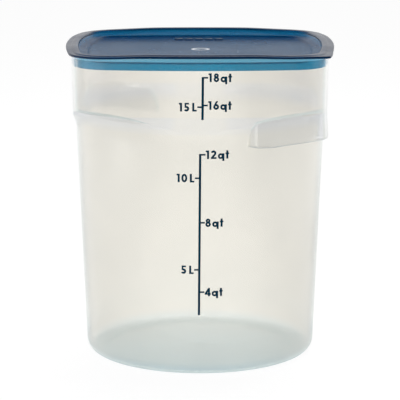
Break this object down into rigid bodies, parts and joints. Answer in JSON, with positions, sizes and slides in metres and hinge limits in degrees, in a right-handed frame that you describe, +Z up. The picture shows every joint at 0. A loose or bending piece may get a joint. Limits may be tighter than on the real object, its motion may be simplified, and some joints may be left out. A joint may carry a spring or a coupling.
{
  "type": "food storage container",
  "caption": "Tall translucent plastic food container: round tapered body, bulged square mouth, two moulded corner hand holds, printed volume scale and a blue snap-in lid.",
  "frame": {"origin": "centre of the round underside, on the plane it stands on", "axes": "+Z up along the body's axis, -Y out of the face that carries the volume scale, +X to the right when facing the scale"},
  "size_m": [0.2882, 0.2882, 0.3412],
  "materials": {
    "clear_plastic": "translucent natural polypropylene, smooth with a soft sheen",
    "lid_plastic": "slightly translucent deep blue moulded polyethylene, semi-gloss",
    "scale_ink": "navy printed ink",
    "white_ink": "white printed ink"
  },
  "bodies": {
    "container": {"container": "clear_plastic", "volume_scale": "scale_ink"},
    "lid": {"lid": "lid_plastic", "lid_print": "white_ink"}
  },
  "joints": [
    {"name": "lid_lift", "type": "slide", "parent": "container", "child": "lid", "axis": [0, 0, 1], "range_m": [0, 0.15]}
  ]
}
